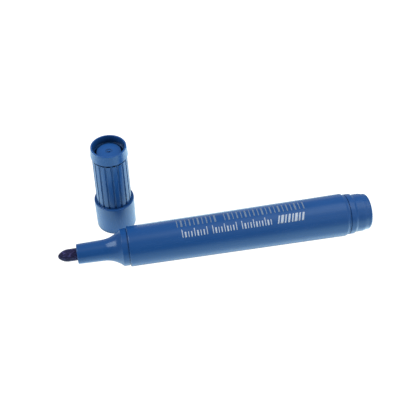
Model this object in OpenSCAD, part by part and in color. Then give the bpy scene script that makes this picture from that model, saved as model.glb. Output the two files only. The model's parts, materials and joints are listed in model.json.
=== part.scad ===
// Felt tip marker, uncapped. The marker lies on its barrel and the cap stands on its mouth beside the nose.
// Sizes are in millimetres. The origin is the centre of the nose collar that the cap's mouth slides over.
// +X runs along the marker to its tail, and +Z is up. The tapered barrel touches the table along its whole
// length, so the marker's axis rises slightly towards the tail.
// A station is a distance along an axis, from the barrel's front face or from the cap's mouth.

/* [Barrel] */
// Length of the barrel
barrel_l = 89.1; // [80:0.1:100]
// Outer radius at the front
barrel_front_r = 8; // [7.9:0.01:8.1]
// Outer radius at the rear, the widest place on the marker
barrel_rear_r = 8.7; // [8.6:0.01:8.9]
// Rounding of the front edge
barrel_edge_r = 0.5; // [0.2:0.05:0.6]
// Length of the rounded rear lip
lip_l = 1.05; // [0.8:0.05:1.6]
// How far the rear lip falls below the widest radius
lip_drop = 0.48; // [0.3:0.01:0.6]
// Length of the straight land between the lip and the joint
lip_land = 0.7; // [0.3:0.05:1]
// Inner radius between the two sockets
barrel_bore_r = 6.85; // [6.7:0.05:6.95]
// Width of each rib that centres the reservoir and leaves an air path beside it
rib_w = 0.8; // [0.6:0.1:1.2]
// Number of barrel ribs
rib_count = 6; // [4:1:8]

/* [Nose] */
// Radius of the collar that the cap's mouth slides over
seat_r = 7.42; // [7.35:0.01:7.5]
// Length of that collar, up to the barrel's front face
seat_l = 2.37; // [2:0.01:3]
// Neck radius at its front face
neck_front_r = 3.97; // [3.85:0.01:4.05]
// Neck radius where the flare starts
neck_rear_r = 4.2; // [4.1:0.01:4.3]
// Length of the neck, ahead of the flare
neck_l = 9.93; // [8:0.01:11]
// Slope of the flare where it meets the collar, in degrees
flare_angle = 45; // [40:1:50]
// Rounding of the corner between the flare and the collar
shoulder_r = 0.3; // [0.1:0.05:0.5]
// Length of the spigot inside the barrel
spigot_l = 13.5; // [10:0.5:16]
// Inner radius of the air space behind the flare
nose_cavity_r = 5.9; // [5.5:0.1:6.1]

/* [Nib] */
// Radius of the fibre rod
nib_r = 2.5; // [2.3:0.01:2.6]
// How far the nib stands out of the neck
nib_out = 7.5; // [6.5:0.05:8]
// Length of its tapered point
nib_point_l = 4.1; // [3.5:0.1:5]
// Radius of its worn, rounded end
nib_end_r = 1.45; // [1.1:0.05:1.6]
// How far it reaches into the reservoir
nib_pierce = 10; // [6:0.5:14]

/* [Reservoir] */
// Radius of the ink-soaked fibre core
core_r = 6.15; // [5.9:0.05:6.2]
// Length of the core
core_l = 72; // [60:0.5:72.5]
// Thickness of the film wrapped round it
wrap_t = 0.1; // [0.08:0.01:0.12]

/* [Tail plug] */
// Radius of the ring behind the barrel
ring_r = 8.2; // [8.05:0.01:8.35]
// Station of the ring's rear edge, behind the barrel's rear face
ring_l = 2.05; // [1.6:0.05:2.5]
// Radius of the post, which a holder or an extension sleeve can take
post_r = 7.7; // [7.6:0.01:7.85]
// Length of the straight part of the post
post_l = 2.5; // [2:0.1:3]
// Length of the waist between the ring and the post
waist_l = 1.35; // [1:0.05:1.5]
// Length of the slope from the post down to the end knob
knob_slope_l = 2.3; // [1.5:0.1:2.5]
// Radius of the end knob
knob_r = 7.33; // [7.1:0.01:7.45]
// Length of the whole plug behind the barrel
tail_l = 9.55; // [9:0.05:12]
// Rounding of the end knob
knob_edge_r = 1.2; // [0.5:0.05:1.4]
// Length of the skirt inside the barrel
skirt_l = 8.5; // [6:0.5:9]

/* [Cap] */
// Height of the cap
cap_h = 40.56; // [38:0.1:44]
// Outer radius at the mouth
mouth_r = 7.98; // [7.92:0.01:8.05]
// Outer radius at the top of the mouth collar
collar_r = 8.08; // [8:0.01:8.2]
// Height of the mouth collar
collar_h = 13.47; // [12:0.1:15]
// Rounding of the collar's upper edge
collar_edge_r = 0.35; // [0.2:0.05:0.6]
// Outer radius at the foot of the fluted part
flute_foot_r = 7.08; // [7:0.01:7.15]
// Outer radius at the top of the fluted part
flute_top_r = 6.85; // [6.8:0.01:6.95]
// Number of flutes
flute_count = 18; // [12:1:20]
// Radius of the round cutter that shapes a flute
flute_cut_r = 0.42; // [0.3:0.02:0.6]
// Depth of a flute
flute_depth = 0.32; // [0.15:0.01:0.4]
// Height of the smooth band at the top
band_h = 4.24; // [3.5:0.1:5]
// Width of the groove under the band, which parts it from the flutes
band_gap_w = 0.9; // [0.5:0.05:1.1]
// Depth of that groove
band_gap_depth = 0.45; // [0.2:0.05:0.6]
// Outer radius at the band's lower edge
band_foot_r = 7.3; // [7.2:0.01:7.4]
// Outer radius at the rim
rim_r = 6.97; // [6.85:0.01:7.05]
// Inner radius at the rim
rim_bore_r = 6.35; // [6.2:0.01:6.4]
// Inner radius of the fluted part
cap_bore_r = 5.8; // [5.7:0.05:5.9]
// Depth of the part of the mouth that fits the nose collar
socket_l = 2.9; // [2.6:0.1:3.5]

/* [Cap seal] */
// Outer radius of the seal cup
cup_r = 4.82; // [4.7:0.01:4.9]
// Inner radius of the cup, which closes round the neck
cup_bore_r = 4.12; // [4.08:0.01:4.2]
// Depth of the cup's closed top below the rim
cup_depth = 2.5; // [2:0.1:4]
// Station of the cup's open end
cup_mouth = 14; // [12:0.5:16]

/* [Placing] */
// Place of the cap's axis along the marker
cap_x = -1.21; // [-10:0.01:60]
// Distance of the cap's axis beside the marker
cap_y = 23.47; // [18:0.01:60]

/* [Hidden] */
$fn = 96;
// Gap between pieces that slide
run_gap = 0.03;
// Gap between pieces that are pushed together for good
seat_gap = 0.02;
// Width of the shadow groove at each barrel joint, and its radius at the front and at the rear
groove_w = 0.32;
front_groove_r = 7.2;
rear_groove_r = 7.75;
// Radii of the two sockets in the barrel
front_socket_r = 7.0;
rear_socket_r = 7.3;
// Small breaks on moulded edges, and the lead-in on parts that are pushed in
edge_r = 0.15;
neck_edge_r = 0.35;
lead_in = 0.4;
// A cut runs past a face by this much
past = 1;
// Thickness of the cup's top and of the plug's end
cup_top_t = 1;
end_wall = 2.2;
// Angle from the nib's widest section at which its round end stops
end_cut = 35;
// Height of a rib foot that is sunk into its wall
sunk = 0.3;
// Air left ahead of the core and behind it
core_front_gap = 0.4;
core_rear_gap = 0.1;
// Room round the wrapped core in the plug's skirt, and the step that stops the core there
skirt_gap = 0.15;
skirt_step = 0.8;
// How far the air space behind the flare reaches past the collar
cavity_ahead = 0.5;
// Radius of the air channels beside the nib
air_r = 0.35;
// Length of the cone between the cap's mouth and its inner bore
throat_l = 2;
// Height of the ring that joins the band to the fluted part
rim_floor_l = 1;
// Stations between which the ribs in the cap stand
cap_rib_start = 18;
cap_rib_end = 34;
// The dished gate mark on the seal cup's top
dimple_r = 1.35;
dimple_depth = 0.2;
gate_r = 0.5;
gate_h = 0.5;

seat_mid = (groove_w + seat_l) / 2;
widest_x = barrel_l - lip_land - lip_l;
taper = (barrel_rear_r - barrel_front_r) / (widest_x - barrel_edge_r);
lie_angle = atan(taper);
table_z = -(barrel_front_r - taper * (seat_mid + barrel_edge_r)) * cos(lie_angle);
flare_end_r = seat_r - shoulder_r * (1 - cos(flare_angle));
flare_r = (flare_end_r - neck_rear_r) / (1 - cos(flare_angle));
shoulder_x = -seat_l;
flare_x = shoulder_x - (shoulder_r + flare_r) * sin(flare_angle);
neck_x = flare_x - neck_l;
tip_x = neck_x - nib_out;
core_x = spigot_l + core_front_gap;
nib_end_x = core_x + nib_pierce;
nib_bore_r = nib_r + run_gap;
skirt_r = rear_socket_r - seat_gap;
skirt_bore_r = core_r + wrap_t + skirt_gap;
core_end_x = core_x + core_l;
flute_top = cap_h - band_h;

PLASTIC = [0.13, 0.32, 0.58];
CAP_PLASTIC = [0.22, 0.42, 0.66];
FIBRE = [0.1, 0.08, 0.22];
CORE = [0.12, 0.16, 0.5];
FILM = [0.85, 0.88, 0.92];

// Points on a circle round c, as [radius, station], from angle a to angle b.
function arc(c, r, a, b, n = 10) =
    [for (i = [0:n]) let (t = a + (b - a) * i / n) [c[0] + r * cos(t), c[1] + r * sin(t)]];

// Points of a smooth S from [radius, station] p to q.
function ease(p, q, n = 10) =
    [for (i = [0:n]) let (t = i / n, s = (1 + cos(180 * t)) / 2)
        [q[0] + (p[0] - q[0]) * s, p[1] + (q[1] - p[1]) * t]];

// Turns an outline of [radius, station] points into a solid along +Z.
module lathe(outline) {
    rotate_extrude() polygon(outline);
}

// A bore from station a to station b.
module bore(r, a, b) {
    translate([0, 0, a]) cylinder(r = r, h = b - a);
}

// Lays a part that is drawn along +Z down on the marker's axis, with the middle of the seat at the origin.
module on_marker() {
    rotate([0, 90 - lie_angle, 0]) translate([0, 0, seat_mid]) children();
}

// Stands a part that is drawn from its mouth up at the cap's place on the table.
module on_cap() {
    translate([cap_x, cap_y, table_z]) children();
}

// Outline of the barrel's outside: rounded front edge, long taper, rounded rear lip and short land.
function barrel_outline() =
    let (lip_angle = 2 * atan(lip_drop / lip_l), lip_r = lip_l / sin(lip_angle))
    concat(
        [[0, 0]],
        arc([barrel_front_r - barrel_edge_r, barrel_edge_r], barrel_edge_r, -90, 0),
        arc([barrel_rear_r - lip_r, widest_x], lip_r, 0, lip_angle),
        [[barrel_rear_r - lip_drop, barrel_l], [0, barrel_l]]
    );

// Ribs stand on the wall of the barrel and touch the wrapped core.
module barrel_ribs() {
    rib_start = spigot_l + lead_in;
    rib_l = barrel_l - skirt_l - past - rib_start;
    difference() {
        for (i = [0:rib_count - 1])
            rotate([0, 0, i * 360 / rib_count])
                translate([0, -rib_w / 2, rib_start])
                    cube([barrel_bore_r + sunk, rib_w, rib_l]);
        bore(core_r + wrap_t + 2 * seat_gap, rib_start - past, rib_start + rib_l + past);
    }
}

module barrel() {
    color(PLASTIC)
        on_marker() {
            difference() {
                lathe(barrel_outline());
                bore(barrel_bore_r, -past, barrel_l + past);
                bore(front_socket_r, -past, spigot_l);
                bore(rear_socket_r, barrel_l - skirt_l, barrel_l + past);
            }
            barrel_ribs();
        }
}

// Outline of the nose: neck with a rounded face, concave flare, cap seat, shadow groove and spigot.
function nose_outline() = concat(
    [[0, neck_x]],
    arc([neck_front_r - neck_edge_r, neck_x + neck_edge_r], neck_edge_r, -90, 0, 6),
    arc([neck_rear_r + flare_r, flare_x], flare_r, 180, 180 - flare_angle, 20),
    arc([seat_r - shoulder_r, shoulder_x], shoulder_r, -flare_angle, 0, 4),
    [
        [seat_r, -groove_w],
        [front_groove_r, -groove_w],
        [front_groove_r, 0],
        [front_socket_r - seat_gap, 0],
        [front_socket_r - seat_gap, spigot_l - lead_in],
        [front_socket_r - lead_in, spigot_l],
        [0, spigot_l]
    ]
);

module nose_cone() {
    color(PLASTIC)
        on_marker()
            difference() {
                lathe(nose_outline());
                bore(nib_bore_r, neck_x - past, 0);
                bore(nose_cavity_r, shoulder_x - cavity_ahead, spigot_l + past);
                for (i = [0:2])
                    rotate([0, 0, i * 120])
                        translate([nib_bore_r, 0, 0])
                            bore(air_r, neck_x - past, 0);
            }
}

// Outline of the nib: round end, curved point, straight rod, and a cone that pierces the core.
// The round end stops at the angle end_cut, where the point's arc takes over and runs into the rod.
function nib_outline() =
    let (
        point_x = tip_x + nib_point_l,
        join_r = nib_end_r * cos(end_cut),
        join_x = tip_x + nib_end_r * (1 - sin(end_cut)),
        fall = nib_r - join_r,
        run = point_x - join_x,
        point_r = (run * run + fall * fall) / (2 * fall)
    )
    concat(
        arc([0, tip_x + nib_end_r], nib_end_r, -90, -end_cut, 6),
        arc([nib_r - point_r, point_x], point_r, -asin(run / point_r), 0, 14),
        [[nib_r, nib_end_x - nib_r], [0, nib_end_x]]
    );

module nib() {
    color(FIBRE) on_marker() lathe(nib_outline());
}

module ink_core() {
    color(CORE)
        on_marker()
            difference() {
                bore(core_r, core_x, core_end_x);
                bore(nib_r + seat_gap, core_x - past, nib_end_x - nib_r);
                translate([0, 0, nib_end_x - nib_r])
                    cylinder(r1 = nib_r + seat_gap, r2 = seat_gap, h = nib_r);
            }
}

module core_wrap() {
    color(FILM)
        on_marker()
            difference() {
                bore(core_r + seat_gap + wrap_t, core_x, core_end_x);
                bore(core_r + seat_gap, core_x - past, core_end_x + past);
            }
}

// Outline of the tail plug: skirt, shadow groove, ring, waist, post and rounded end knob.
function plug_outline() =
    let (
        back = barrel_l,
        ring_x = back + ring_l,
        post_x = ring_x + waist_l,
        knob_x = post_x + post_l + knob_slope_l,
        end_x = back + tail_l
    )
    concat(
        [
            [0, back - skirt_l],
            [skirt_r - lead_in, back - skirt_l],
            [skirt_r, back - skirt_l + lead_in],
            [skirt_r, back],
            [rear_groove_r, back],
            [rear_groove_r, back + groove_w]
        ],
        arc([ring_r - edge_r, back + groove_w + edge_r], edge_r, -90, 0, 4),
        ease([ring_r, ring_x], [post_r, post_x]),
        ease([post_r, post_x + post_l], [knob_r, knob_x]),
        arc([knob_r - knob_edge_r, end_x - knob_edge_r], knob_edge_r, 0, 90),
        [[0, end_x]]
    );

module tail_plug() {
    color(PLASTIC)
        on_marker()
            difference() {
                lathe(plug_outline());
                bore(skirt_bore_r, barrel_l - skirt_l - past, core_end_x + core_rear_gap);
                bore(skirt_bore_r - skirt_step, barrel_l - skirt_l, barrel_l + tail_l - end_wall);
            }
}

// Outline of the mouth collar, up to the ledge under the flutes.
function collar_outline() = concat(
    [[0, 0]],
    arc([mouth_r - edge_r, edge_r], edge_r, -90, 0, 4),
    arc([collar_r - collar_edge_r, collar_h - collar_edge_r], collar_edge_r, 0, 90),
    [[0, collar_h]]
);

// Outline of the smooth band: overhanging lower edge, slight taper, rounded rim.
function band_outline() = concat(
    [[0, flute_top], [band_foot_r - edge_r, flute_top], [band_foot_r, flute_top + edge_r]],
    arc([rim_r - edge_r, cap_h - edge_r], edge_r, 0, 90, 4),
    [[0, cap_h]]
);

// The gripping part of the cap: a cone with round-bottomed flutes all round.
module fluted_grip() {
    foot = collar_h - past;
    top = flute_top + past;
    run = flute_top - collar_h;
    lean = atan((flute_foot_r - flute_top_r) / run);
    difference() {
        translate([0, 0, foot]) cylinder(r1 = flute_foot_r, r2 = flute_top_r, h = top - foot);
        for (i = [0:flute_count - 1])
            rotate([0, 0, (i + 0.5) * 360 / flute_count])
                translate([flute_foot_r + flute_cut_r - flute_depth, 0, foot])
                    rotate([0, -lean, 0])
                        translate([0, 0, -past])
                            cylinder(r = flute_cut_r, h = run + 5 * past);
    }
}

// Ribs inside the cap hold the seal cup in the middle and let air pass round it.
module cap_ribs() {
    difference() {
        for (i = [0:3])
            rotate([0, 0, 45 + i * 90])
                translate([0, -rib_w / 2, cap_rib_start])
                    cube([cap_bore_r + sunk, rib_w, cap_rib_end - cap_rib_start]);
        bore(cup_r + seat_gap, cap_rib_start - past, cap_rib_end + past);
    }
}

module cap_shell() {
    mouth_bore_r = seat_r + run_gap;
    color(CAP_PLASTIC)
        on_cap() {
            difference() {
                union() {
                    lathe(collar_outline());
                    fluted_grip();
                    lathe(band_outline());
                }
                difference() {
                    bore(band_foot_r + past, flute_top - band_gap_w, flute_top);
                    bore(flute_top_r - band_gap_depth, flute_top - past, flute_top + past);
                }
                bore(cap_bore_r, -past, cap_h + past);
                bore(mouth_bore_r, -past, socket_l);
                translate([0, 0, socket_l])
                    cylinder(r1 = mouth_bore_r, r2 = cap_bore_r, h = throat_l);
                cylinder(r1 = mouth_bore_r + edge_r, r2 = mouth_bore_r, h = edge_r);
                bore(rim_bore_r, flute_top + rim_floor_l, cap_h + past);
            }
            cap_ribs();
        }
}

// The cup closes round the neck, and its top shows inside the rim with the mark of its moulding gate.
module cap_seal_cup() {
    top = cap_h - cup_depth;
    color(CAP_PLASTIC)
        on_cap() {
            difference() {
                lathe(concat(
                    [[0, cup_mouth], [cup_r, cup_mouth]],
                    arc([cup_r - edge_r, top - edge_r], edge_r, 0, 90, 4),
                    [[0, top]]
                ));
                bore(cup_bore_r, cup_mouth - past, top - cup_top_t);
                translate([0, 0, cup_mouth])
                    cylinder(r1 = cup_bore_r + lead_in, r2 = cup_bore_r, h = lead_in);
                bore(dimple_r, top - dimple_depth, top + past);
            }
            bore(gate_r, top - cup_top_t / 2, top - dimple_depth + gate_h);
        }
}

barrel();
nose_cone();
nib();
ink_core();
core_wrap();
tail_plug();
cap_shell();
cap_seal_cup();
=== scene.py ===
"""Looks for the felt tip marker: moulded plastic, a fibre nib, two rows of plain strokes, a light studio.

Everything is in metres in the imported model's frame: +X runs to the marker's tail and +Z is up.
"""

import json
import math

import bmesh
import bpy
from mathutils import Matrix, Vector, noise


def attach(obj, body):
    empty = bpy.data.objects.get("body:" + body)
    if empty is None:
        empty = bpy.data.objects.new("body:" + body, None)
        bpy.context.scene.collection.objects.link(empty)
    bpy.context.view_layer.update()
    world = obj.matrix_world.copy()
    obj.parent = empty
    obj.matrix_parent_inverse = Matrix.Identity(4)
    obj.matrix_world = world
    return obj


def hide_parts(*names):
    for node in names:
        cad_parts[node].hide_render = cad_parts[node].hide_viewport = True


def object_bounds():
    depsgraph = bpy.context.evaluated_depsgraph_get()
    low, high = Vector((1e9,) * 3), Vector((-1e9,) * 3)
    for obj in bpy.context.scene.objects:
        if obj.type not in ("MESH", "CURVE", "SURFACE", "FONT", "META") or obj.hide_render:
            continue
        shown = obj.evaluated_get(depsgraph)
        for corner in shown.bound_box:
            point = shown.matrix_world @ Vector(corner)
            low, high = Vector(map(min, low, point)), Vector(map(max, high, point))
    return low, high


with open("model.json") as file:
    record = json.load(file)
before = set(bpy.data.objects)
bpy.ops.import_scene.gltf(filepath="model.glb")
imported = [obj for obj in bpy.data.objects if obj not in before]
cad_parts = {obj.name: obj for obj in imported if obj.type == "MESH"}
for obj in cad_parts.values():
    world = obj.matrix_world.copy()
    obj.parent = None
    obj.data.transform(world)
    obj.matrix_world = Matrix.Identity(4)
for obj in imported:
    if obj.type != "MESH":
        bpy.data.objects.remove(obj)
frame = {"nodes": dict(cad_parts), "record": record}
CAD_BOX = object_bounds()

MM = 0.001

# Turns the marker from straight along +X to the way it lies: the tapered barrel tips its axis up at the tail.
TAIL_WAY = next(Vector(m["axis"]) for m in frame["record"]["mounts"] if m["name"] == "tail_post")
LAID = Matrix.Rotation(-math.atan2(TAIL_WAY.z, TAIL_WAY.x), 4, "Y")

# Where the colour sockets of a Mix node are, which share their names with its number sockets.
COLOUR_A = 6
COLOUR_B = 7
COLOUR_RESULT = 2

# Colours, linear.
BLUE = (0.0135, 0.0765, 0.258)
CAP_BLUE = (0.0150, 0.0885, 0.298)
WORN_BLUE = (0.12, 0.24, 0.46)
GLOSS_TINT = (0.80, 0.97, 1.0)
# Tint of the floor's painted glow, as the object sees it.
PAINTED_GLOW_TINT = (0.72, 0.97, 1.0)
NIB_DARK = (0.0052, 0.0044, 0.032)
NIB_PALE = (0.085, 0.080, 0.25)
CORE_BLUE = (0.02, 0.03, 0.22)
CORE_DRY = (0.35, 0.45, 0.7)
FILM_CLEAR = (0.82, 0.86, 0.9)
FILM_STAINED = (0.35, 0.5, 0.8)
TABLE_GREYS = ((0.14, 0.14, 0.14), (0.16, 0.16, 0.16))
SILVER = (0.165, 0.235, 0.345)
WHITE = (0.50, 0.57, 0.68)

# Sizes of the marks on the moulded plastic.
FLOW_CLOUD = 9 * MM
WEAR_PATCH = 0.7 * MM
EDGE_RADIUS = 0.16 * MM
PORE = 0.25 * MM
PORE_DEPTH = 0.0022 * MM
RUB_MARK = 0.12 * MM
RUB_DEPTH = 0.0012 * MM

NIB_POINTS_AROUND = 160

# How far the printed ink stands out of the barrel, and also how far it sinks in.
INK_DEPTH = 0.03 * MM
# The strokes' widths vary in turn, as shares of the width that their word gives.
STROKE_WIDTHS = (0.8, 1.5, 0.8, 1.1)
# Words: start and end as shares of the barrel's length, number of strokes, their width in mm and their slant.
SILVER_WORDS = [
    (0.212, 0.400, 10, 0.50, 0),
    (0.425, 0.803, 20, 0.50, 0),
]
WHITE_WORDS = [
    (0.231, 0.354, 9, 0.42, 0),
    (0.367, 0.485, 9, 0.42, 0),
    (0.498, 0.641, 11, 0.42, 0),
    (0.657, 0.784, 8, 0.75, 0.3),
]

BODY_NODES = ("barrel", "nose_cone", "tail_plug")
CAP_NODES = ("cap_shell", "cap_seal_cup")


# ---------------------------------------------------------------- node helpers


def set_sockets(tree, owner, values):
    """Sets a node's inputs, by name or number, to plain values or to other nodes' output sockets."""
    for name, value in values.items():
        if isinstance(value, bpy.types.NodeSocket):
            tree.links.new(value, owner.inputs[name])
        else:
            owner.inputs[name].default_value = value


def node(tree, kind, inputs=None, **settings):
    """A new shader node with its inputs and settings in place."""
    made = tree.nodes.new(kind)
    for name, value in settings.items():
        setattr(made, name, value)
    set_sockets(tree, made, inputs or {})
    return made


def value_of(tree, operation, *inputs):
    """The result of a Math node."""
    made = node(tree, "ShaderNodeMath", dict(enumerate(inputs)), operation=operation)
    return made.outputs[0]


def ramp(tree, value, low, high, to_low=0.0, to_high=1.0):
    """value from low..high mapped smoothly to to_low..to_high."""
    sockets = {"Value": value, "From Min": low, "From Max": high, "To Min": to_low, "To Max": to_high}
    return node(tree, "ShaderNodeMapRange", sockets, interpolation_type="SMOOTHSTEP").outputs["Result"]


def blend_colour(tree, share, first, second):
    """A colour that goes from first to second as share goes from 0 to 1."""
    made = node(tree, "ShaderNodeMix", {"Factor": share}, data_type="RGBA")
    ends = {COLOUR_A: first, COLOUR_B: second}
    set_sockets(tree, made, {i: (*end, 1) if isinstance(end, tuple) else end for i, end in ends.items()})
    return made.outputs[COLOUR_RESULT]


def blend_value(tree, share, first, second):
    """A number that goes from first to second as share goes from 0 to 1."""
    return node(tree, "ShaderNodeMix", {"Factor": share, "A": first, "B": second}).outputs["Result"]


def likeness(tree, first, second):
    """The dot product of two directions: 1 where they agree."""
    return node(tree, "ShaderNodeVectorMath", {0: first, 1: second}, operation="DOT_PRODUCT").outputs["Value"]


def openness(tree, reach):
    """How open a spot is to its surroundings within reach: 1 out in the open, towards 0 in a tight corner."""
    return node(tree, "ShaderNodeAmbientOcclusion", {"Distance": reach}, samples=8).outputs["AO"]


def seen_by_camera(tree):
    """1 for rays that come straight from the camera, and 0 for light on its way to the object."""
    return node(tree, "ShaderNodeLightPath").outputs["Is Camera Ray"]


def grain(tree, size, detail=2.0, stretch=(1, 1, 1), shift=0.0):
    """Noise from 0 to 1 with features of about size, longer along an axis whose stretch is above 1."""
    place = node(tree, "ShaderNodeTexCoord").outputs["Object"]
    scaling = [1 / (size * s) for s in stretch]
    mapped = node(tree, "ShaderNodeMapping", {"Vector": place, "Location": [shift] * 3, "Scale": scaling})
    sockets = {"Vector": mapped.outputs[0], "Scale": 1.0, "Detail": detail}
    return node(tree, "ShaderNodeTexNoise", sockets).outputs[0]


def shade(colour, factor):
    """The colour made lighter or darker by a factor."""
    return tuple(c * factor for c in colour)


def new_material(name):
    """A material that uses nodes, and the Principled BSDF of its starting node tree, which is returned too.
    """
    material = bpy.data.materials.new(name)
    material.use_nodes = True
    return material, material.node_tree, material.node_tree.nodes["Principled BSDF"]


def bumped(tree, height, distance, normal=None):
    """The normal of a surface with height (0 to 1) standing out by distance."""
    sockets = {"Height": height, "Distance": distance, "Strength": 1.0}
    if normal is not None:
        sockets["Normal"] = normal
    return node(tree, "ShaderNodeBump", sockets).outputs["Normal"]


# ---------------------------------------------------------------- light by direction

# How bright the camera sees the table and the room, and how bright the room is on the object.
TABLE_SHOWN = 1.1
ROOM_SHOWN = 1.05
ROOM_LIGHT = 0.24

# Soft glows that the glossy plastic mirrors: azimuth, elevation, core and rim in degrees, and strength.
# The table's glows, darker where the strength is below 0, are painted into the floor's glow; the room's light
# the world.
PAINTED_TABLE_GLOWS = [
    (172, -19, 3, 13, 1.20),
    (159, -20, 4, 13, -0.80),
    (-175, -34, 4, 16, -0.35),
    (-105, -42, 8, 45, 0.30),
    (38, -20, 5, 32, 0.60),
    (105, -57, 8, 42, 0.65),
]
ROOM_GLOWS = [
    (0, 35, 15, 55, -0.16),
    (180, -5, 5, 34, 0.40),
    (174, -4, 4, 18, 0.30),
    (90, 66, 4, 30, 0.95),
    (15, 78, 3, 20, 0.25),
    (42, 38, 5, 36, 0.60),
    (25, 0, 3, 22, 0.50),
]


def direction(azimuth, elevation):
    """Unit vector towards a place on the sky: azimuth 0 is the camera's side (-Y), 90 is +X."""
    a, e = math.radians(azimuth), math.radians(elevation)
    return Vector((math.sin(a) * math.cos(e), -math.cos(a) * math.cos(e), math.sin(e)))


def lobe(tree, way, azimuth, elevation, core, rim):
    """1 within core degrees of a place on the sky, falling smoothly to 0 at rim degrees from it."""
    nearness = likeness(tree, way, tuple(direction(azimuth, elevation)))
    return ramp(tree, nearness, math.cos(math.radians(rim)), math.cos(math.radians(core)))


def with_glows(tree, way, light, glows):
    """Adds soft glows to a light."""
    for azimuth, elevation, core, rim, strength in glows:
        glow = lobe(tree, way, azimuth, elevation, core, rim)
        light = value_of(tree, "MULTIPLY_ADD", glow, strength, light)
    return light


# ---------------------------------------------------------------- materials


def edge_wear(tree, rounded):
    """How far edges are rubbed pale, in patches. An edge is where the rounded normal leaves the face's."""
    face = node(tree, "ShaderNodeNewGeometry").outputs["Normal"]
    edge = ramp(tree, likeness(tree, rounded, face), 0.985, 0.90)
    patches = ramp(tree, grain(tree, WEAR_PATCH, 3, shift=3), 0.35, 0.7)
    return value_of(tree, "MULTIPLY", value_of(tree, "MULTIPLY", edge, patches), 0.45)


def moulded_plastic(name, colour, along, roughness, reach, depth):
    """Satin polypropylene: faint flow clouds, moulding grain, rub marks, paler worn edges and painted shade.

    along is the number of the axis that the flow and the rub marks follow. Painted shade darkens the colour
    by depth (0 to 1) where the surroundings within reach close in.
    """
    material, tree, shader = new_material(name)
    clouds = grain(tree, FLOW_CLOUD, 3, [3 if i == along else 1 for i in range(3)])
    scratches = grain(tree, RUB_MARK, 2, [40 if i == along else 1 for i in range(3)], 7)
    rubs = ramp(tree, scratches, 0.56, 0.72)
    rounded = node(tree, "ShaderNodeBevel", {"Radius": EDGE_RADIUS}, samples=6).outputs[0]

    body = blend_colour(tree, clouds, shade(colour, 0.90), shade(colour, 1.10))
    worn = blend_colour(tree, edge_wear(tree, rounded), body, WORN_BLUE)
    # Painted shade: the colour goes towards a dark copy of itself where the surroundings close in.
    painted_corner_shade = ramp(tree, openness(tree, reach), 0.85, 0.3, 0, depth)
    dulled = ramp(tree, clouds, 0.3, 0.7, roughness - 0.03, roughness + 0.04)
    pored = bumped(tree, grain(tree, PORE, 3), PORE_DEPTH, rounded)
    set_sockets(tree, shader, {
        "Base Color": blend_colour(tree, painted_corner_shade, worn, shade(colour, 0.12)),
        "Roughness": value_of(tree, "MULTIPLY_ADD", rubs, 0.08, dulled),
        "IOR": 1.49,
        "Specular Tint": (*GLOSS_TINT, 1),
        "Normal": bumped(tree, rubs, RUB_DEPTH, pored),
    })
    return material


def nib_fibre():
    """Ink-soaked fibre: nearly black violet with paler hairs along the nib and a dull, broken surface."""
    material, tree, shader = new_material("nib_fibre")
    hairs = ramp(tree, grain(tree, 0.16 * MM, 4, (9, 1, 1)), 0.45, 0.70)
    specks = ramp(tree, grain(tree, 0.55 * MM, 3, (1.6, 1, 1), 11), 0.50, 0.64)
    pale = value_of(tree, "MULTIPLY_ADD", hairs, 0.5, 0.5)
    soft = value_of(tree, "MULTIPLY_ADD", value_of(tree, "MULTIPLY", pale, specks), 0.85, 0.08)
    set_sockets(tree, shader, {
        "Base Color": blend_colour(tree, soft, NIB_DARK, NIB_PALE),
        "Roughness": ramp(tree, hairs, 0, 1, 0.58, 0.8),
        "Specular IOR Level": 0.2,
        "Normal": bumped(tree, hairs, 0.04 * MM),
    })
    return material


def core_fibre():
    """The reservoir: bundled fibre soaked with blue ink, paler where it has run dry."""
    material, tree, shader = new_material("core_fibre")
    strands = grain(tree, 0.3 * MM, 4, (20, 1, 1))
    wet = grain(tree, 6 * MM, 2, shift=5)
    soaked = blend_colour(tree, strands, shade(CORE_BLUE, 0.6), shade(CORE_BLUE, 1.6))
    set_sockets(tree, shader, {
        "Base Color": blend_colour(tree, ramp(tree, wet, 0.55, 0.75, 0, 0.5), soaked, CORE_DRY),
        "Roughness": 0.85,
        "Normal": bumped(tree, strands, 0.05 * MM),
    })
    return material


def clear_film():
    """Thin crinkled plastic film round the reservoir, stained by the ink."""
    material, tree, shader = new_material("clear_film")
    creases = grain(tree, 2.5 * MM, 3, (4, 1, 1))
    stain = ramp(tree, grain(tree, 8 * MM, 3, shift=9), 0.4, 0.7)
    set_sockets(tree, shader, {
        "Base Color": blend_colour(tree, stain, FILM_CLEAR, FILM_STAINED),
        "Roughness": 0.18,
        "Transmission Weight": 0.6,
        "Normal": bumped(tree, creases, 0.08 * MM),
    })
    return material


def printed_ink(name, colour, cover):
    """Pad-printed ink: slightly uneven, with pinholes through which the barrel's plastic shows."""
    material, tree, shader = new_material(name)
    mottle = grain(tree, 0.5 * MM, 3, shift=2)
    holes = ramp(tree, grain(tree, 0.22 * MM, 2, shift=4), 0.60 * cover, 0.74 * cover)
    ink = blend_colour(tree, mottle, shade(colour, 0.85), shade(colour, 1.1))
    set_sockets(tree, shader, {
        "Base Color": blend_colour(tree, holes, ink, BLUE),
        "Roughness": ramp(tree, mottle, 0.3, 0.7, 0.38, 0.55),
        "Normal": bumped(tree, mottle, 0.006 * MM),
    })
    return material


def painted_far_glow(tree, out):
    """Painted glow from the table further off, to the sides and behind. The cap's upper band mirrors it."""
    level = value_of(tree, "MULTIPLY", ramp(tree, out["Z"], 0.61, 0.57), ramp(tree, out["Z"], 0.45, 0.52))
    aside = ramp(tree, value_of(tree, "ABSOLUTE", out["X"]), 0.15, 0.45)
    behind = ramp(tree, out["Y"], 0.3, -0.3)
    strength = ramp(tree, out["X"], 0.1, -0.1, 1.4, 2.4)
    for share in (level, aside, behind):
        strength = value_of(tree, "MULTIPLY", strength, share)
    return strength


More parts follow.
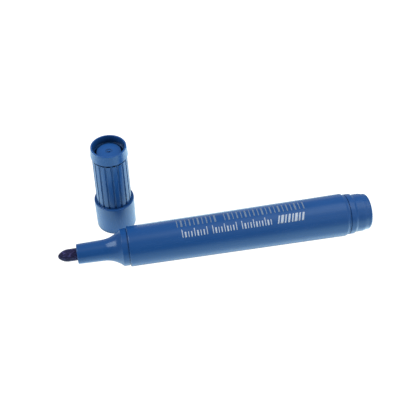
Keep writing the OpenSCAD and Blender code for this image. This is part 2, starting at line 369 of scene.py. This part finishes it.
def painted_table_glow(tree):
    """Painted light that the table sends towards the object: it fades low down and behind,
    and a painted shadow darkens it under the pieces.
    """
    outward = node(tree, "ShaderNodeNewGeometry").outputs["Incoming"]
    out = node(tree, "ShaderNodeSeparateXYZ", {0: outward}).outputs
    steep = value_of(tree, "POWER", value_of(tree, "MAXIMUM", out["Z"], 0.001), 0.5)
    behind = ramp(tree, out["Y"], -0.1, -0.6)
    shine = value_of(tree, "MULTIPLY", steep, value_of(tree, "MULTIPLY_ADD", behind, -0.5, 1.9))
    spread = value_of(tree, "ADD", shine, painted_far_glow(tree, out))
    inward = node(tree, "ShaderNodeVectorMath", {0: outward, 1: (-1, -1, -1)}, operation="MULTIPLY")
    bright = with_glows(tree, inward.outputs[0], spread, PAINTED_TABLE_GLOWS)
    # Painted shadow: the floor's glow darkens where the pieces close in over it, under them and inside the
    # cap.
    return value_of(tree, "MULTIPLY", bright, ramp(tree, openness(tree, 9 * MM), 0.05, 0.75, 0.03, 1.0))


def studio_floor():
    """White table that glows: the camera sees it plain white, and the object gets painted light from it."""
    material, tree, shader = new_material("studio_floor")
    seen = seen_by_camera(tree)
    set_sockets(tree, shader, {
        "Base Color": blend_colour(tree, grain(tree, 1.5, 1), *TABLE_GREYS),
        "Roughness": 0.9,
        "Specular IOR Level": 0.0,
        # Painted light: the floor glows, plain white for the camera and as a painted glow of light and shadow
        # towards the object.
        "Emission Color": blend_colour(tree, seen, PAINTED_GLOW_TINT, (1, 1, 1)),
        "Emission Strength": blend_value(tree, seen, painted_table_glow(tree), TABLE_SHOWN),
    })
    return material


# ---------------------------------------------------------------- pieces


def finish_cad_nodes():
    """Gives each CAD node that stays visible its own finish."""
    # The last two numbers of each plastic set its painted shade: how far it looks for surroundings that close
    # in, and how dark it gets.
    body_plastic = moulded_plastic("body_plastic", BLUE, 0, 0.20, 1.3 * MM, 0.1)
    cap_plastic = moulded_plastic("cap_plastic", CAP_BLUE, 2, 0.22, 4.0 * MM, 0.7)
    finishes = {name: body_plastic for name in BODY_NODES}
    finishes.update({name: cap_plastic for name in CAP_NODES})
    finishes["ink_core"] = core_fibre()
    finishes["core_wrap"] = clear_film()
    for name, material in finishes.items():
        slots = frame["nodes"][name].material_slots
        for slot in slots:
            slot.material = material
        if not slots:
            frame["nodes"][name].data.materials.append(material)


def marker_box(name):
    """Lowest and highest corner of a CAD node of the marker, with the marker turned straight along +X."""
    turned = [LAID.transposed() @ v.co for v in frame["nodes"][name].data.vertices]
    return [Vector([pick(p[i] for p in turned) for i in range(3)]) for pick in (min, max)]


def mesh_object(name, built, material, place=Matrix()):
    """A smooth-shaded object made from a bmesh, moved by place."""
    bmesh.ops.recalc_face_normals(built, faces=built.faces)
    mesh = bpy.data.meshes.new(name)
    built.to_mesh(mesh)
    built.free()
    mesh.transform(place)
    mesh.materials.append(material)
    mesh.shade_smooth()
    made = bpy.data.objects.new(name, mesh)
    bpy.context.scene.collection.objects.link(made)
    return made


def nib_radius(x, length, radius):
    """Radius of the nib at x behind its tip: a worn round end, a bulging point, the rod, a cone inside."""
    point_l = 1.64 * radius
    end_r = 0.58 * radius
    # The round end meets the bulging point at this x and this radius.
    join_x = 0.426 * end_r
    join_r = 0.819 * end_r
    run = point_l - join_x
    fall = radius - join_r
    curve_r = (run**2 + fall**2) / (2 * fall)
    if x < join_x:
        return math.sqrt(max(0.0, end_r**2 - (end_r - x) ** 2))
    if x < point_l:
        return radius - curve_r + math.sqrt(curve_r**2 - (point_l - x) ** 2)
    return max(0.0, min(radius, length - x))


def fibre_dent(place, x, radius):
    """How far the fibres fall back from the nib's outline: grooves all over, and frayed pits near the tip."""
    hairs = noise.noise(Vector((place.x * 0.9, place.y * 9, place.z * 9)) / radius)
    pits = noise.noise(Vector((place.x * 5, place.y * 8, place.z * 8)) / radius + Vector((31, 7, 3)))
    frayed = max(0.0, 1 - x / (2.6 * radius))
    return radius * (0.010 * (1 + hairs) + (0.010 + 0.016 * frayed) * (0.7 + pits))


def nib_ring(built, tip_x, x, length, radius, around):
    """One ring of the nib's surface at x behind its tip. Each point is dented along the surface's normal."""
    step = 0.01 * radius
    before = max(0.0, x - step)
    slope = (nib_radius(x + step, length, radius) - nib_radius(before, length, radius)) / (x + step - before)
    tilt = math.hypot(slope, 1)
    r = nib_radius(x, length, radius)
    ring = []
    for k in range(around):
        angle = 2 * math.pi * k / around
        y, z = math.cos(angle), math.sin(angle)
        dent = fibre_dent(Vector((x, r * y, r * z)), x, radius) / tilt
        worn = max(0.0, r - dent)
        ring.append(built.verts.new((tip_x + x + dent * slope, worn * y, worn * z)))
    return ring


def build_nib():
    """The nib as a finely divided fibre rod. It stays inside the CAD rod."""
    low, high = marker_box("nib")
    radius = high.y
    length = high.x - low.x
    shown_l = 4 * radius
    fine = 120
    coarse = 24
    stations = [shown_l * (i / fine) ** 1.5 for i in range(1, fine + 1)]
    stations += [shown_l + (length - shown_l) * i / coarse for i in range(1, coarse)]

    built = bmesh.new()
    rings = [nib_ring(built, low.x, x, length, radius, NIB_POINTS_AROUND) for x in stations]
    for first, second in zip(rings, rings[1:]):
        for k in range(NIB_POINTS_AROUND):
            built.faces.new((first[k - 1], first[k], second[k], second[k - 1]))
    for ring, x in ((rings[0], fibre_dent(Vector(), 0, radius)), (rings[-1], length)):
        centre = built.verts.new((low.x + x, 0, 0))
        for k in range(NIB_POINTS_AROUND):
            built.faces.new((centre, ring[k - 1], ring[k]))

    nib = mesh_object("nib_fibres", built, nib_fibre(), LAID)
    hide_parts("nib")
    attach(nib, "marker")


def add_bar(built, start, end, foot, height, slant, radius_of):
    """A thin curved slab on the barrel, from x start to end, with its foot an angle up from the -Y side."""
    across = 8
    along = 2
    layers = []
    for offset in (-INK_DEPTH, INK_DEPTH):
        grid = []
        for i in range(along + 1):
            row = []
            for j in range(across + 1):
                rise = j / across * height
                x = start + (end - start) * i / along + slant * rise
                r = radius_of(x) + offset
                angle = foot + rise / radius_of(x)
                row.append(built.verts.new((x, -r * math.cos(angle), r * math.sin(angle))))
            grid.append(row)
        layers.append(grid)
    for grid in layers:
        for i in range(along):
            for j in range(across):
                built.faces.new((grid[i][j], grid[i + 1][j], grid[i + 1][j + 1], grid[i][j + 1]))
    below, above = layers
    rims = [[(i, 0) for i in range(along + 1)], [(i, across) for i in range(along + 1)]]
    rims += [[(0, j) for j in range(across + 1)], [(along, j) for j in range(across + 1)]]
    for rim in rims:
        for (a, b), (c, d) in zip(rim, rim[1:]):
            built.faces.new((below[a][b], below[c][d], above[c][d], above[a][b]))


def barrel_radius():
    """A function that gives the barrel's radius at any x: a straight taper from front to widest ring."""
    low, high = marker_box("barrel")
    turned = [LAID.transposed() @ v.co for v in frame["nodes"]["barrel"].data.vertices]
    front = max(math.hypot(p.y, p.z) for p in turned if p.x < low.x + MM)
    widest_x = max(p.x for p in turned if math.hypot(p.y, p.z) > high.y - 0.001 * MM)
    return lambda x: front + (high.y - front) * (x - low.x) / (widest_x - low.x)


def print_row(name, material, foot, tall, drop, words):
    """One row of plain strokes on the barrel, in words. Three upright strokes in four are shorter by drop."""
    low, high = marker_box("barrel")
    length = high.x - low.x
    radius_of = barrel_radius()
    built = bmesh.new()
    for start, end, count, width, slant in words:
        pitch = (end - start) * length / count
        for i in range(count):
            middle = low.x + start * length + (i + 0.5) * pitch
            half = width * STROKE_WIDTHS[i % len(STROKE_WIDTHS)] * MM / 2
            short = i % len(STROKE_WIDTHS) > 0 and slant == 0
            height = tall * (1 - drop) if short else tall
            add_bar(built, middle - half, middle + half, math.radians(foot), height, slant, radius_of)
    row = mesh_object(name, built, material, LAID)
    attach(row, "marker")


def build_print():
    """Two rows of printed strokes, as generic stand-ins for the maker's print."""
    print_row("print_silver", printed_ink("silver_ink", SILVER, 0.95), 80, 4.0 * MM, 0.0, SILVER_WORDS)
    print_row("print_white", printed_ink("white_ink", WHITE, 1.0), 48, 3.3 * MM, 0.32, WHITE_WORDS)


# ---------------------------------------------------------------- studio

CENTRE = (CAD_BOX[0] + CAD_BOX[1]) / 2
FLOOR_RADIUS = 6.0

# The camera's distance from the point it looks at, and that point's place as shares of the box in X and Y.
VIEW_DISTANCE = 0.34017
VIEW_ASIDE = 0.5126
VIEW_BEHIND = 0.7601


def build_floor():
    """A wide white disc under the object."""
    built = bmesh.new()
    bmesh.ops.create_circle(built, cap_ends=True, radius=FLOOR_RADIUS, segments=96)
    bmesh.ops.translate(built, verts=built.verts, vec=(CENTRE.x, CENTRE.y, CAD_BOX[0].z))
    floor = mesh_object("studio_floor", built, studio_floor())


def build_world():
    """A dim room with soft glows behind the object and on the right. The camera itself sees plain white."""
    world = bpy.data.worlds.new("studio")
    bpy.context.scene.world = world
    world.use_nodes = True
    tree = world.node_tree
    tree.nodes.clear()
    way = node(tree, "ShaderNodeTexCoord").outputs["Generated"]
    light = with_glows(tree, way, ROOM_LIGHT, ROOM_GLOWS)
    strength = blend_value(tree, seen_by_camera(tree), light, ROOM_SHOWN)
    background = node(tree, "ShaderNodeBackground", {"Color": (1, 1, 1, 1), "Strength": strength})
    node(tree, "ShaderNodeOutputWorld", {"Surface": background.outputs[0]})


def aimed(name, data, target, away, distance):
    """An object for a light or a camera that stands off from target and faces it."""
    made = bpy.data.objects.new(name, data)
    made.location = target + away * distance
    made.rotation_mode = "QUATERNION"
    made.rotation_quaternion = away.to_track_quat("Z", "Y")
    bpy.context.scene.collection.objects.link(made)
    return made


def softbox(name, azimuth, elevation, distance, size, radiance, colour):
    """A square area light that faces the object and shows in it with the given radiance."""
    lamp = bpy.data.lights.new(name, "AREA")
    lamp.shape = "SQUARE"
    lamp.size = size
    lamp.energy = radiance * math.pi * size**2
    lamp.color = colour
    made = aimed(name, lamp, CENTRE, direction(azimuth, elevation), distance)
    made.visible_camera = False
    return made


def build_lights():
    """A small softbox near by on the right, which the plastic doesn't mirror, and a large one on the left."""
    softbox("right", 100, 50, 0.35, 0.25, 3.4, (0.95, 0.98, 1.0)).visible_glossy = False
    softbox("left", -98, 50, 0.9, 0.60, 4.2, (0.92, 0.95, 1.0))


def build_camera():
    """Stands 11 degrees left of the -Y side and looks down 44 degrees at a point on the table."""
    low, high = CAD_BOX
    span = high - low
    aim = Vector((low.x + VIEW_ASIDE * span.x, low.y + VIEW_BEHIND * span.y, low.z))
    camera = bpy.data.cameras.new("camera")
    camera.sensor_width = 36
    camera.lens = 68.3
    camera.clip_start = 0.01
    camera.clip_end = 100
    bpy.context.scene.camera = aimed("camera", camera, aim, direction(-11.18, 44.48), VIEW_DISTANCE)


finish_cad_nodes()
build_nib()
build_print()
build_floor()
build_world()
build_lights()
build_camera()
bpy.context.scene.view_settings.view_transform = "Standard"
